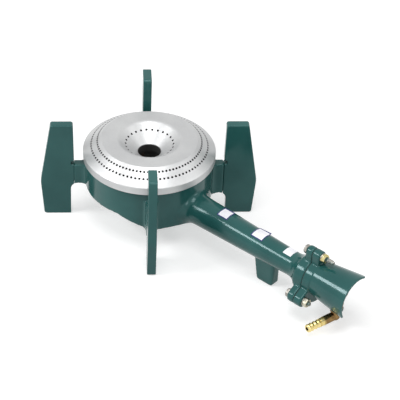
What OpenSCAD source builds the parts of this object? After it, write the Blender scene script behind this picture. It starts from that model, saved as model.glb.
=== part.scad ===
// Cast iron gas burner: a bowl on four plate legs, with a lift-off drilled cap, a tapered
// air and gas tube, and a bolted mixer bell that holds a brass hose elbow and its jet.
// The tube runs along +X, the floor is at z = 0, and the origin is under the middle.

/* [Cap] */
// How far the cap's rim stands out past the bowl
cap_over = 3; // [1:0.5:5]
// Height of the flat ring on top of the cap above the floor
cap_top_z = 111; // [108:0.5:114]
// Height of the upright band round the rim
rim_band_h = 9.6; // [7:0.1:12]
// Width of the sloping face between the rim and the flat ring
bevel_w = 23; // [21:0.5:26]
// Radius at which the flat ring turns down into the funnel
funnel_r = 39; // [36:0.5:42]
// Radius of the through hole at the bottom of the funnel
air_hole_r = 14; // [12:0.5:15]
// Depth of the funnel below the flat ring
funnel_depth = 19; // [16:0.5:21]
// Wall thickness of the cap
cap_wall = 4.5; // [3.5:0.1:5.5]
// Number of flame ports in each outer row
port_count = 90; // [60:2:100]
// Diameter of a flame port
port_d = 2.2; // [1.6:0.1:2.6]
// Distance of the upper row of ports in from the rim
row_one_in = 17.7; // [16:0.1:19]
// Distance of the lower row of ports in from the rim
row_two_in = 10.1; // [9:0.1:12]
// Number of ports in the ring inside the funnel
pilot_count = 26; // [16:2:32]
// Radius of the ring of ports inside the funnel
pilot_r = 29.6; // [27:0.2:33]
// How far the cap's two spigots reach down into the bowl and the air pipe
spigot_h = 6; // [4:0.5:8]
// Thickness of the cap's outer spigot
spigot_t = 4; // [3:0.5:5]
// Clearance on radius between the cap's spigots and the bowl
cap_clear = 0.4; // [0.3:0.05:0.6]

/* [Bowl] */
// Outer radius of the bowl
bowl_r = 79.5; // [78:0.5:81]
// Height of the bowl's upper edge, on which the cap sits
bowl_top_z = 85.5; // [83:0.5:88]
// Wall thickness of the bowl
bowl_wall = 5; // [4:0.5:6]
// Thickness of the bowl's floor
floor_t = 6; // [5:0.5:7]
// Height of the shallow part of the underside
shallow_z = 47; // [46:0.5:49]
// Height of the deep part of the underside, on the tube's side
deep_z = 30; // [29:0.5:32]
// Distance from the axis at which the underside starts to fall
ramp_start = 18; // [14:1:22]
// Distance from the axis at which the underside is deep
ramp_end = 58; // [54:1:60]
// Radius that rounds both ends of the ramp
ramp_round = 30; // [20:1:34]
// Wall thickness of the upright air pipe in the middle of the bowl
pipe_wall = 4; // [3:0.5:5]
// Gap between the top of the air pipe and the cap's underside
pipe_gap = 4; // [2:0.5:6]

/* [Arms] */
// Reach of an arm from the bowl to its leg
arm_reach = 13.8; // [12:0.1:16]
// Thickness of an arm
arm_t = 12; // [11:0.5:13]
// Radius of the fillet between an arm's sides and the bowl
arm_fillet = 9; // [6:0.5:10]
// Height of an arm's upper face
arm_top_z = 75; // [72:0.5:78]
// Joint gap between an arm's end and its leg
seam_gap = 0.2; // [0.1:0.05:0.3]
// Length of the dovetail tongue on an arm's end
tongue_len = 4.4; // [3.5:0.1:5]
// Thickness of the tongue at its neck
tongue_neck = 3.4; // [3:0.1:4]
// Thickness of the tongue at its wide end
tongue_head = 5.2; // [4.6:0.1:5.6]
// Clearance round the tongue in its groove
tongue_clear = 0.15; // [0.1:0.05:0.25]

/* [Legs] */
// Height of the legs' tops, on which a pot stands
leg_top_z = 134; // [130:0.5:140]
// Thickness of a leg plate
leg_t = 11; // [9:0.5:12]
// Distance of a leg's top from its joint with the arm
leg_top_set = 1.2; // [0.5:0.1:3]
// Length of a leg's top
leg_top_len = 28; // [24:0.5:31]
// Distance from that joint to the leg's widest place
leg_depth = 41.7; // [39:0.1:45]
// Height of a leg's widest place
leg_wide_z = 49; // [42:1:56]
// Radius of the curve at the widest place
leg_wide_round = 40; // [20:1:50]
// Distance of a foot from the joint with the arm
foot_set = 4.2; // [3:0.1:7]
// Length of a foot
foot_len = 33.5; // [30:0.5:36]
// Rounding of the leg's corners
leg_corner = 3; // [1.5:0.5:4]
// Height of the relief notch above an arm
notch_h = 5; // [3:0.5:7]
// Depth of the relief notch into the leg
notch_depth = 3.6; // [2.5:0.1:4.5]

/* [Tube] */
// Height of the tube's axis
tube_z = 47; // [46:0.5:48]
// Outer radius of the tube where it leaves the bowl
tube_root_r = 19.2; // [18.6:0.1:20]
// Radius of the fillet between the tube and the bowl
root_fillet_r = 14; // [10:0.5:18]
// How far that fillet runs along the tube, past the bowl
root_reach = 8.5; // [6:0.5:10]
// Outer radius of the tube just before the flange
tube_neck_r = 15.1; // [14.5:0.1:16]
// Bore radius at the bowl
bore_root_r = 15.2; // [14:0.1:16]
// Bore radius at the throat
throat_r = 11.4; // [10:0.1:12]
// Bore radius at the flange
bore_flange_r = 14; // [13:0.1:15]
// Distance of the throat from the burner's axis
throat_x = 232; // [225:1:240]
// Distance of the flange's face from the burner's axis
flange_x = 267; // [262:0.5:272]
// Middle of the small foot under the tube
tube_foot_x = 199; // [190:1:206]
// Length of the tube's foot along the tube
tube_foot_len = 24; // [18:1:28]
// Thickness of the tube's foot across the tube
tube_foot_t = 13.5; // [11:0.5:16]
// How much longer the foot is at the tube, on the bowl's side
tube_foot_flare = 8; // [2:0.5:10]
// Rounding of the tube foot's corners
tube_foot_round = 3.2; // [1:0.1:4]

/* [Flange] */
// Radius of the collar behind the flange
collar_r = 23.5; // [22:0.5:24.5]
// Length of the collar
collar_len = 13; // [12:0.5:18]
// Radius of the flare from the tube to the collar
flare_r = 22; // [12:0.5:26]
// Number of bolts
lug_count = 3; // [3:1:3]
// Radius of the bolt circle
lug_pcr = 33.2; // [32.5:0.1:35]
// Radius of a lower lug
lug_r = 8.2; // [7.5:0.1:8.6]
// Radius of the upper lug
top_lug_r = 7; // [6.8:0.1:8.2]
// Rounding of the lugs' edges on the tube's side
back_round = 2.4; // [1:0.1:3]
// Rounding of the lugs' edges on the bell's side
front_round = 1.4; // [0.8:0.1:2]
// Thickness of the flange on the tube
flange_t = 10; // [8:0.5:11]
// Radius of the web between the two lower lugs
web_r = 31; // [28:0.5:32]
// Thickness of the gasket
gasket_t = 0.8; // [0.6:0.1:1.6]
// How far the gasket's edge lies inside the flanges' edges
gasket_inset = 0.5; // [0.2:0.1:1]

/* [Fasteners] */
// Thread diameter of the bolts
bolt_d = 6; // [6:0.5:6.5]
// Length of the upper bolt under its head
bolt_len = 38; // [34:1:40]
// Length of the two lower bolts under their heads
short_bolt_len = 30; // [28:1:36]
// Width of the bolt heads and nuts across flats
bolt_af = 10; // [9.5:0.5:11]
// Height of a bolt head
bolt_head_h = 4; // [3.5:0.1:4.5]
// Height of a nut
nut_h = 5; // [4:0.1:5.5]
// Clearance on radius of the bolts in their holes
bolt_clear = 0.5; // [0.3:0.1:0.6]
// Thickness of a washer
washer_t = 1.2; // [1:0.1:1.6]
// Outer radius of a washer
washer_r = 5.6; // [5.3:0.1:6.2]
// Thread allowance on radius between bolt and nut
thread_clear = 0.08; // [0.05:0.01:0.15]

/* [Mixer bell] */
// Distance of the bell's outer end from the burner's axis
mouth_x = 331.5; // [328:0.5:336]
// Thickness of the bell's flange
bell_flange_t = 10; // [8:0.5:11]
// Outer radius of the bell's cone at its flange
bell_small_r = 21.9; // [21:0.1:22.5]
// Outer radius of the bell at its outer end
bell_mouth_r = 28.9; // [27.5:0.1:30]
// How far the bell's cone is set above the tube's axis
bell_lift = 1.5; // [1:0.1:2]
// Wall thickness of the bell's mouth
bell_wall = 2.6; // [2.4:0.1:3.4]
// Length of the straight bore in the bell's flange
bell_bore_len = 4; // [3:0.5:6]
// Distance at which the slanting cut of the mouth crosses the bell's axis
cut_x = 322; // [318:0.5:326]
// Slope of the slanting cut away from square
cut_slope = 48; // [45:1:50]
// Turn of the cut's long side about the bell's axis
cut_turn = 136; // [130:1:145]
// Radius of the boss that the elbow passes through
boss_r = 8.2; // [8:0.1:9]
// Distance of the boss's outer face from the tube's axis
boss_out = 25.6; // [25:0.1:26.5]
// Distance of the spot face inside it from the tube's axis
boss_in = 22.1; // [21.9:0.1:22.4]

/* [Brass elbow] */
// Distance of the elbow's stem from the burner's axis
stem_x = 308; // [306:0.5:309]
// Turn of the stem about the tube's axis, away from straight down
stem_turn = 10; // [5:1:20]
// Outer radius of the threaded stem
stem_r = 4.8; // [4.5:0.1:5]
// Clearance on radius of the stem in its boss
stem_clear = 0.2; // [0.1:0.05:0.3]
// Distance of the hose arm's corner from the tube's axis
arm_drop = 34.5; // [34:0.5:37]
// Length of the hose arm from that corner to its open end
hose_arm_len = 43; // [40:0.5:46]
// Turn of the hose arm back towards the legs
hose_turn = 11; // [0:1:15]
// Outer radius of the hose arm
hose_arm_r = 5.4; // [5.3:0.1:5.8]
// Radius of the barbs' crests and of the seat behind them
barb_r = 5.1; // [4.9:0.05:5.25]
// Radius between the barbs
barb_root_r = 4.3; // [4:0.05:4.6]
// Number of barbs
barb_count = 3; // [2:1:4]
// Length of one barb
barb_len = 5; // [4.5:0.1:6]
// Length of the plain seat behind the barbs
seat_len = 5; // [4:0.5:7]
// Length of the round nose in front of the barbs
nose_len = 4; // [3:0.5:5]
// Radius of the gas way
gas_r = 2.35; // [2:0.05:2.6]
// Outer radius of the elbow's neck between its corner and its shoulder
elbow_neck_r = 5.7; // [5.4:0.1:6]
// Radius of the ball at the elbow's corner
corner_r = 6.3; // [6.2:0.1:6.6]
// Radius of the elbow's shoulder under the boss
shoulder_r = 7.4; // [7:0.1:8]
// Height of that shoulder
shoulder_h = 2; // [1.5:0.1:2.5]
// Thickness of the sealing washer
seal_t = 1; // [0.8:0.1:1.4]
// Width of the lock nut across flats
lock_af = 14; // [13:0.5:14.5]
// Height of the lock nut
lock_h = 5; // [4:0.5:6]
// Radius of the head that carries the jet
head_r = 6.4; // [6:0.1:7]
// Length of that head
head_len = 15; // [14:0.5:17]

/* [Jet] */
// Radius of the jet's threaded end
jet_thread_r = 3; // [2.8:0.1:3.2]
// Depth of the jet's thread in the head
jet_seat = 6; // [5:0.5:7]
// Width of the jet's hexagon across flats
jet_af = 9; // [8:0.5:10]
// Length of the jet's hexagon
jet_hex_len = 3.5; // [3:0.5:4.5]
// Length of the jet's nose
jet_nose_len = 8; // [6:0.5:10]
// Radius of the jet's orifice
orifice_r = 0.6; // [0.5:0.05:0.8]

/* [Hidden] */
$fn = 72;

enamel = [0.20, 0.36, 0.35];
silver = [0.80, 0.80, 0.80];
steel = [0.58, 0.57, 0.55];
zinc = [0.72, 0.66, 0.42];
brass = [0.76, 0.64, 0.33];
fibre = [0.35, 0.30, 0.26];

// Amount by which a cutter runs past what it cuts
over = 1;
// Where the burner's axis stands, so that the origin is under the middle of the whole
seam_r = bowl_r + arm_reach;
leg_top_in = seam_r + leg_top_set;
leg_top_out = leg_top_in + leg_top_len;
leg_wide_r = seam_r + leg_depth;
foot_in = seam_r + foot_set;
foot_out = foot_in + foot_len;
leg_reach = (leg_wide_r + leg_t / 2) * cos(45);
axis_x = (leg_reach - mouth_x) / 2;
// The legs' directions, seen from above
front_turn = 45;
rear_turn = 135;

cap_r = bowl_r + cap_over;
flat_ring_r = cap_r - bevel_w;
row_one_r = cap_r - row_one_in;
row_two_r = cap_r - row_two_in;
rim_top_z = bowl_top_z + rim_band_h;
bevel_slope = atan((cap_top_z - rim_top_z) / bevel_w);
// Turns of the first port of the outer rows and of the ring in the funnel, in spacings
row_phase = -0.15;
pilot_phase = 0.15;
funnel_z = cap_top_z - funnel_depth;
neck_r = air_hole_r + cap_wall - 1;
pipe_in_r = neck_r + cap_clear;
pipe_out_r = pipe_in_r + pipe_wall;
chamber_r = bowl_r - bowl_wall;
spigot_r = chamber_r - cap_clear;
pipe_top_z = funnel_z - pipe_gap;

rear_arch_z = shallow_z;
front_arch_z = deep_z + over;
arch_r = (foot_in - bowl_r) / 2;
arch_x = (foot_in + bowl_r) / 2;
// Height of solid arm kept below the tongue
tongue_floor = 3;

lug_first = 90;
lug_step = 360 / lug_count;
hole_r = bolt_d / 2 + bolt_clear;
bell_x = flange_x + gasket_t;
bell_back_x = bell_x + bell_flange_t;
// Radius of the bell's cone inside, where it starts in the flange
bell_throat_r = bore_flange_r + bell_lift + 0.5;
bolt_head_x = flange_x - flange_t;
washer_x = bell_back_x;
nut_x = washer_x + washer_t;

stem_hole_r = stem_r + stem_clear;
// Clearance round the lock nut in its spot face
spot_clear = 0.6;
shoulder_out = boss_out + seal_t;
arm_corner = [stem_x, -arm_drop * sin(stem_turn), tube_z - arm_drop * cos(stem_turn)];
jet_face_x = stem_x - head_len / 2;

// A point at radius r and angle a
function polar(r, a) = [r * cos(a), r * sin(a)];
// The points of an arc, ends included
function arc(c, r, a0, a1, n) = [for (i = [0:n]) c + polar(r, a0 + (a1 - a0) * i / n)];
function unit(v) = v / norm(v);
function turn_of(v) = atan2(v.y, v.x);
function wrapped(a) = a > 180 ? a - 360 : a < -180 ? a + 360 : a;
// The arc of radius r that rounds the corner q between its neighbours p and s
function corner(p, q, s, r, n = 6) =
    let (
        u = unit(p - q),
        v = unit(s - q),
        half = acos(u * v) / 2,
        c = q + unit(u + v) * r / sin(half),
        a0 = turn_of(q + u * r / tan(half) - c),
        a1 = turn_of(q + v * r / tan(half) - c)
    )
    arc(c, r, a0, a0 + wrapped(a1 - a0), n);
// Turn at which the line from p touches the circle round c, on the side given by 1 or -1
function touch(c, r, p, side) = turn_of(p - c) + side * acos(r / norm(p - c));

// Puts what is drawn round the burner's own axis at its place
module on_burner() {
    translate([axis_x, 0, 0])
        children();
}

// Stands a profile of distance and height upright, with thickness t across it
module upright(t) {
    rotate([90, 0, 0])
        linear_extrude(t, center = true)
            children();
}

// Lays what is drawn along +Z along the tube's axis, starting at distance x
module along_tube(x) {
    translate([x, 0, tube_z])
        rotate([0, 90, 0])
            children();
}

// Places a copy at lug number i, where 0 is the top one
module at_lug(i) {
    rotate([lug_first + lug_step * i, 0, 0])
        translate([0, lug_pcr, 0])
            children();
}

// The space above the bowl's underside, raised by lift
module above_floor(lift) {
    start = [ramp_start, shallow_z + lift];
    end = [ramp_end, deep_z + lift];
    far = 2 * bowl_r;
    upright(far * 1.2)
        polygon(concat(
            [[-far, shallow_z + lift]],
            corner([-far, start.y], start, end, ramp_round),
            corner(start, end, [far, end.y], ramp_round),
            [[far, deep_z + lift], [far, bowl_top_z], [-far, bowl_top_z]]
        ));
}

// The bowl's outside, as a solid
module bowl_solid() {
    intersection() {
        cylinder(h = bowl_top_z, r = bowl_r);
        above_floor(0);
    }
}

// The gas chamber inside the bowl
module chamber() {
    intersection() {
        cylinder(h = bowl_top_z + over, r = chamber_r);
        union() {
            above_floor(floor_t);
            translate([0, 0, bowl_top_z - over])
                cylinder(h = 2 * over, r = bowl_r);
        }
    }
}

// The arch between the bowl and a foot, whose crown is at height z
module arch(z) {
    spring_z = z - arch_r;
    translate([arch_x, spring_z])
        circle(r = arch_r);
    translate([arch_x - arch_r, -over])
        square([2 * arch_r, spring_z + over]);
}

// An arm from the bowl to its leg, over an arch with its crown at height z
module arm(z) {
    root_x = bowl_r - bowl_wall / 2;
    intersection() {
        upright(arm_t + 2 * arm_fillet + over)
            difference() {
                translate([root_x, z - arch_r])
                    square([seam_r - root_x, arm_top_z - z + arch_r]);
                arch(z);
            }
        linear_extrude(arm_top_z)
            polygon(concat(
                arc([root_x + arm_fillet, -arm_t / 2 - arm_fillet], arm_fillet, 180, 90, 6),
                [[seam_r, -arm_t / 2], [seam_r, arm_t / 2]],
                arc([root_x + arm_fillet, arm_t / 2 + arm_fillet], arm_fillet, 270, 180, 6)
            ));
    }
    tongue(z + tongue_floor, arm_top_z, 0);
}

// The dovetail that joins an arm to its leg, grown by gap for the groove
module tongue(z0, z1, gap) {
    translate([0, 0, z0])
        linear_extrude(z1 - z0)
            polygon([
                [seam_r - over, -tongue_neck / 2 - gap],
                [seam_r + tongue_len + gap, -tongue_head / 2 - gap],
                [seam_r + tongue_len + gap, tongue_head / 2 + gap],
                [seam_r - over, tongue_neck / 2 + gap]
            ]);
}

// The outline of a leg, as distance from the axis and height
module leg_outline() {
    wide_c = [leg_wide_r - leg_wide_round, leg_wide_z];
    foot_a = [foot_in, 0];
    foot_b = [foot_out, 0];
    top_a = [leg_top_in, leg_top_z];
    top_b = [leg_top_out, leg_top_z];
    low = touch(wide_c, leg_wide_round, foot_b, 1);
    high = touch(wide_c, leg_wide_round, top_b, -1);
    wide_low = wide_c + polar(leg_wide_round, low);
    wide_high = wide_c + polar(leg_wide_round, high);
    inner_r = seam_r + seam_gap;
    notch_top = arm_top_z + notch_h;
    polygon(concat(
        [[inner_r, 0]],
        corner(foot_a, foot_b, wide_low, leg_corner),
        arc(wide_c, leg_wide_round, low, 0, 3),
        arc(wide_c, leg_wide_round, 0, high, 4),
        corner(wide_high, top_b, top_a, leg_corner),
        corner(top_b, top_a, [inner_r, notch_top], leg_corner),
        [[inner_r, notch_top], [inner_r + notch_depth, notch_top]],
        [[inner_r + notch_depth, arm_top_z], [inner_r, arm_top_z]]
    ));
}

// A leg that stands at the given turn, over an arch with its crown at height z
module leg(turn, z) {
    color(enamel)
        on_burner()
            rotate([0, 0, turn])
                difference() {
                    upright(leg_t)
                        difference() {
                            leg_outline();
                            arch(z);
                        }
                    tongue(z + tongue_floor, arm_top_z + over, tongue_clear);
                }
}

// Radius of lug number i, where 0 is the top one
function lug_radius(i) = i == 0 ? top_lug_r : lug_r;

// The middle of a flange and its lower web, seen along the tube
module flange_core(inset) {
    circle(r = collar_r - inset);
    intersection() {
        circle(r = web_r - inset);
        polygon([[0, 0], polar(2 * web_r, 210), [0, -2 * web_r], polar(2 * web_r, 330)]);
    }
}

// A lug of radius r that points along +X, from its flat face at z0 to its rounded face at z1
module lug(z0, z1, r, round) {
    rotate([90, 0, 90])
        linear_extrude(lug_pcr)
            polygon(concat(
                [[-r, z0]],
                corner([-r, z0], [-r, z1], [r, z1], round, 4),
                corner([-r, z1], [r, z1], [r, z0], round, 4),
                [[r, z0]]
            ));
    translate([lug_pcr, 0, 0])
        rotate_extrude()
            polygon(concat(
                [[0, z0], [0, z1]],
                corner([0, z1], [r, z1], [r, z0], round, 4),
                [[r, z0]]
            ));
}

// A flange with its bolt holes, from its flat face at distance x0 to its rounded face at x1
module flange_plate(x0, x1, round) {
    translate([0, 0, tube_z])
        rotate([90, 0, 90])
            difference() {
                union() {
                    translate([0, 0, min(x0, x1)])
                        linear_extrude(abs(x1 - x0))
                            flange_core(0);
                    for (i = [0:lug_count - 1])
                        rotate(lug_first + lug_step * i)
                            lug(x0, x1, lug_radius(i), round);
                }
                bolt_holes(min(x0, x1) - over, abs(x1 - x0) + 2 * over);
            }
}

// The bolt holes, from distance x along the tube
module bolt_holes(x, len) {
    for (i = [0:lug_count - 1])
        rotate(lug_first + lug_step * i)
            translate([lug_pcr, 0, x])
                cylinder(h = len, r = hole_r);
}

// The outside of the tube, from inside the bowl to its flange
module tube_solid() {
    collar_x = flange_x - collar_len;
    flare_end = acos((collar_r - tube_neck_r - flare_r) / flare_r);
    flare_x = collar_x - flare_r * sin(flare_end);
    start_x = ramp_end - 10;
    along_tube(0)
        rotate_extrude()
            polygon(concat(
                [[0, start_x], [tube_z - deep_z - 4, start_x], [tube_root_r, ramp_end + 2]],
                [[tube_root_r, bowl_r]],
                arc([tube_neck_r + flare_r, flare_x], flare_r, 180, flare_end, 8),
                [[collar_r, flange_x], [0, flange_x]]
            ));
}

// The fillet between the tube and the bowl, level with the tube's underside at the bottom
module root_fillet() {
    c = [tube_root_r + root_fillet_r, bowl_r + root_reach];
    in_x = bowl_r - 2 * bowl_wall;
    flat_z = tube_z - tube_root_r;
    intersection() {
        along_tube(0)
            rotate_extrude()
                polygon(concat(
                    [[0, in_x], [c.x + 1, in_x]],
                    arc(c, root_fillet_r, 255, 180, 8),
                    [[0, c.y]]
                ));
        translate([in_x - over, -bowl_r, flat_z])
            cube([root_fillet_r * 2, 2 * bowl_r, bowl_top_z - flat_z]);
    }
}

// The bore of the tube, a throat that widens both ways
module tube_bore() {
    along_tube(0)
        rotate_extrude()
            polygon([
                [0, ramp_end + 4],
                [bore_root_r, ramp_end + 4],
                [bore_root_r, bowl_r],
                [throat_r, throat_x],
                [bore_flange_r, flange_x],
                [bore_flange_r, flange_x + over],
                [0, flange_x + over]
            ]);
}

// The small foot under the tube
module tube_foot() {
    half = tube_foot_len / 2;
    draft = 2;
    low_a = [tube_foot_x - half, 0];
    low_b = [tube_foot_x + half, 0];
    high_a = [tube_foot_x - half - tube_foot_flare, tube_z];
    high_b = [tube_foot_x + half + draft, tube_z];
    intersection() {
        upright(2 * tube_foot_t)
            polygon(concat(
                [high_a],
                corner(high_a, low_a, low_b, tube_foot_round),
                corner(low_a, low_b, high_b, tube_foot_round),
                [high_b]
            ));
        linear_extrude(tube_z)
            foot_plan(high_a.x, high_b.x, tube_foot_t);
    }
}

// The tube foot seen from above, from x0 to x1 with round corners
module foot_plan(x0, x1, t) {
    round = 1.6 * tube_foot_round;
    a = [x0, -t / 2];
    b = [x1, -t / 2];
    c = [x1, t / 2];
    d = [x0, t / 2];
    polygon(concat(
        corner(d, a, b, round),
        corner(a, b, c, round),
        corner(b, c, d, round),
        corner(c, d, a, round)
    ));
}

// The bowl, air pipe, tube, flange and arms, cast in one piece
module burner_body() {
    color(enamel)
        on_burner()
            difference() {
                union() {
                    difference() {
                        union() {
                            bowl_solid();
                            tube_solid();
                            root_fillet();
                            tube_foot();
                        }
                        chamber();
                    }
                    intersection() {
                        cylinder(h = pipe_top_z, r = pipe_out_r);
                        union() {
                            above_floor(0);
                            translate([0, 0, bowl_top_z - over])
                                cylinder(h = cap_top_z, r = pipe_out_r + over);
                        }
                    }
                    flange_plate(flange_x, flange_x - flange_t, back_round);
                    for (side = [-1, 1]) {
                        rotate([0, 0, side * front_turn])
                            arm(front_arch_z);
                        rotate([0, 0, side * rear_turn])
                            arm(rear_arch_z);
                    }
                }
                tube_bore();
                translate([0, 0, -over])
                    cylinder(h = cap_top_z, r = pipe_in_r);
            }
}

module front_left_leg() {
    leg(front_turn, front_arch_z);
}

module front_right_leg() {
    leg(-front_turn, front_arch_z);
}

module rear_left_leg() {
    leg(rear_turn, rear_arch_z);
}

module rear_right_leg() {
    leg(-rear_turn, rear_arch_z);
}

// The section of the cap: band, bevel, flat ring, funnel, neck and spigots
module cap_section() {
    band_top = [cap_r, rim_top_z];
    ring_edge = [flat_ring_r, cap_top_z];
    lip = [funnel_r, cap_top_z];
    bottom = [air_hole_r, funnel_z];
    neck_z = pipe_top_z - spigot_h;
    under_z = cap_top_z - cap_wall;
    polygon(concat(
        [[spigot_r, bowl_top_z - spigot_h], [spigot_r, bowl_top_z], [cap_r, bowl_top_z]],
        corner([cap_r, bowl_top_z], band_top, ring_edge, 1.5, 4),
        [ring_edge],
        corner(ring_edge, lip, bottom, 8, 5),
        corner(lip, bottom, [air_hole_r, neck_z], 1.5, 3),
        [[air_hole_r, neck_z], [neck_r, neck_z], [neck_r, funnel_z - cap_wall / 2]],
        [[funnel_r - 1, under_z], [flat_ring_r - 1, under_z]],
        [[spigot_r - spigot_t, rim_top_z - cap_wall / 2]],
        [[spigot_r - spigot_t, bowl_top_z - spigot_h]]
    ));
}

// A ring of ports of radius r whose surface is at height z, leaning out by tilt
module ports(count, r, z, tilt, phase) {
    for (i = [0:count - 1])
        rotate([0, 0, (i + phase) * 360 / count])
            translate([r, 0, z])
                rotate([0, tilt, 0])
                    cylinder(h = 4 * cap_wall, d = port_d, center = true, $fn = 16);
}

module burner_cap() {
    funnel_slope = atan(funnel_depth / (funnel_r - air_hole_r));
    color(silver)
        on_burner()
            difference() {
                rotate_extrude()
                    cap_section();
                ports(port_count, row_one_r, cap_top_z - (row_one_r - flat_ring_r) * tan(bevel_slope),
                    bevel_slope, row_phase);
                ports(port_count, row_two_r, cap_top_z - (row_two_r - flat_ring_r) * tan(bevel_slope),
                    bevel_slope, row_phase);
                ports(pilot_count, pilot_r, cap_top_z - (funnel_r - pilot_r) * tan(funnel_slope),
                    -funnel_slope, pilot_phase);
            }
}

// The gasket's outline, a little inside the flanges' edges
module gasket_outline() {
    flange_core(gasket_inset);
    for (i = [0:lug_count - 1])
        rotate(lug_first + lug_step * i) {
            r = lug_radius(i) - gasket_inset;
            translate([0, -r])
                square([lug_pcr, 2 * r]);
            translate([lug_pcr, 0])
                circle(r = r);
        }
}

module flange_gasket() {
    color(fibre)
        on_burner()
            difference() {
                translate([0, 0, tube_z])
                    rotate([90, 0, 90])
                        difference() {
                            translate([0, 0, flange_x])
                                linear_extrude(gasket_t)
                                    gasket_outline();
                            bolt_holes(flange_x - over, gasket_t + 2 * over);
                        }
                along_tube(flange_x - over)
                    cylinder(h = gasket_t + 2 * over, r = bore_flange_r);
            }
}

// Radius of the bell's inside at share t of the way from that start to the mouth
function bell_in(t) = bell_throat_r + (bell_mouth_r - bell_wall - bell_throat_r) * pow(t, 0.7);
// Distance from the burner's axis at share t of that way
function bell_at(t) = bell_x + bell_bore_len + (mouth_x - bell_x - bell_bore_len) * t;

module mixer_bell() {
    steps = 6;
    color(enamel)
        on_burner()
            difference() {
                union() {
                    flange_plate(bell_x, bell_back_x, front_round);
                    intersection() {
                        translate([0, 0, bell_lift])
                            along_tube(0)
                                rotate_extrude()
                                    polygon([
                                        [0, bell_back_x - over],
                                        [bell_small_r, bell_back_x - over],
                                        [bell_mouth_r, mouth_x],
                                        [0, mouth_x]
                                    ]);
                        mouth_side();
                    }
                    on_stem()
                        translate([0, 0, -boss_out])
                            cylinder(h = boss_out - boss_in + over, r = boss_r);
                }
                along_tube(bell_x - over)
                    cylinder(h = bell_bore_len + 2 * over, r = bore_flange_r);
                translate([0, 0, bell_lift])
                    along_tube(0)
                        rotate_extrude()
                            polygon(concat(
                                [[0, bell_at(0)]],
                                [for (i = [0:steps]) [bell_in(i / steps), bell_at(i / steps)]],
                                [[bell_in(1), mouth_x + over], [0, mouth_x + over]]
                            ));
                on_stem() {
                    translate([0, 0, -boss_out - over])
                        cylinder(h = boss_out, r = stem_hole_r);
                    translate([0, 0, -boss_in])
                        cylinder(h = boss_in, r = lock_af / 2 / cos(30) + spot_clear);
                }
            }
}

// The side of the slanting cut on which the bell is kept
module mouth_side() {
    big = 200;
    translate([cut_x, 0, tube_z])
        rotate([cut_turn - 90, 0, 0])
            rotate([0, cut_slope, 0])
                translate([-big, -big / 2, -big / 2])
                    cube(big);
}

// Turns what points down along -Z onto the elbow's stem, from the tube's axis outwards
module on_stem() {
    translate([stem_x, 0, tube_z])
        rotate([-stem_turn, 0, 0])
            children();
}

// A bolt of the given length that clamps the two flanges, with its head on the tube's side
module flange_bolt(i, len, turn) {
    tip = 1;
    color(steel)
        on_burner()
            translate([0, 0, tube_z])
                at_lug(i)
                    rotate([0, 90, 0]) {
                        translate([0, 0, bolt_head_x - bolt_head_h])
                            rotate(turn)
                                cylinder(h = bolt_head_h, d = bolt_af / cos(30), $fn = 6);
                        translate([0, 0, bolt_head_x - over])
                            cylinder(h = len + over - tip, d = bolt_d);
                        translate([0, 0, bolt_head_x + len - tip])
                            cylinder(h = tip, d1 = bolt_d, d2 = bolt_d - 2 * tip);
                    }
}

module flange_washer(i) {
    color(steel)
        on_burner()
            translate([0, 0, tube_z])
                at_lug(i)
                    rotate([0, 90, 0])
                        translate([0, 0, washer_x])
                            ring(washer_t, washer_r, bolt_d / 2 + bolt_clear / 2);
}

module flange_nut(i, turn) {
    color(zinc)
        on_burner()
            translate([0, 0, tube_z])
                at_lug(i)
                    rotate([0, 90, 0])
                        translate([0, 0, nut_x])
                            rotate(turn)
                                hex_nut(nut_h, bolt_af, bolt_d / 2 + thread_clear);
}

module ring(h, r, bore) {
    difference() {
        cylinder(h = h, r = r);
        translate([0, 0, -over])
            cylinder(h = h + 2 * over, r = bore);
    }
}

module hex_nut(h, af, bore) {
    difference() {
        cylinder(h = h, d = af / cos(30), $fn = 6);
        translate([0, 0, -over])
            cylinder(h = h + 2 * over, r = bore);
    }
}

module flange_bolt_top() {
    flange_bolt(0, bolt_len, 30);
}

module flange_bolt_left() {
    flange_bolt(2, short_bolt_len, 0);
}

module flange_bolt_right() {
    flange_bolt(1, short_bolt_len, 0);
}

module flange_washer_top() {
    flange_washer(0);
}

module flange_washer_left() {
    flange_washer(2);
}

module flange_washer_right() {
    flange_washer(1);
}

module flange_nut_top() {
    flange_nut(0, 30);
}

module flange_nut_left() {
    flange_nut(2, 0);
}

module flange_nut_right() {
    flange_nut(1, 0);
}

// The section of the hose arm, as radius and distance from the stem's axis
module hose_arm_section() {
    barbs_start = hose_arm_len - nose_len - barb_count * barb_len;
    seat_start = barbs_start - seat_len;
    polygon(concat(
        [[0, 0], [hose_arm_r, 0], [hose_arm_r, seat_start], [barb_r, seat_start]],
        [[barb_r, barbs_start]],
        [for (i = [0:barb_count - 1], p = [
            [barb_root_r, barbs_start + i * barb_len],
            [barb_root_r, barbs_start + (i + 0.3) * barb_len],
            [barb_r, barbs_start + (i + 0.4) * barb_len],
            [barb_r, barbs_start + (i + 0.5) * barb_len]
        ]) p],
        [[barb_root_r, hose_arm_len - nose_len], [barb_r, hose_arm_len - nose_len + 1]],
        arc([barb_r - 2, hose_arm_len - 2], 2, 0, 90, 4),
        [[0, hose_arm_len]]
    ));
}

// Turns the hose arm from +Z to its own direction at the elbow's corner
module on_hose_arm() {
    translate(arm_corner)
        rotate([0, 0, -hose_turn])
            rotate([90, 0, 0])
                children();
}

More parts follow.
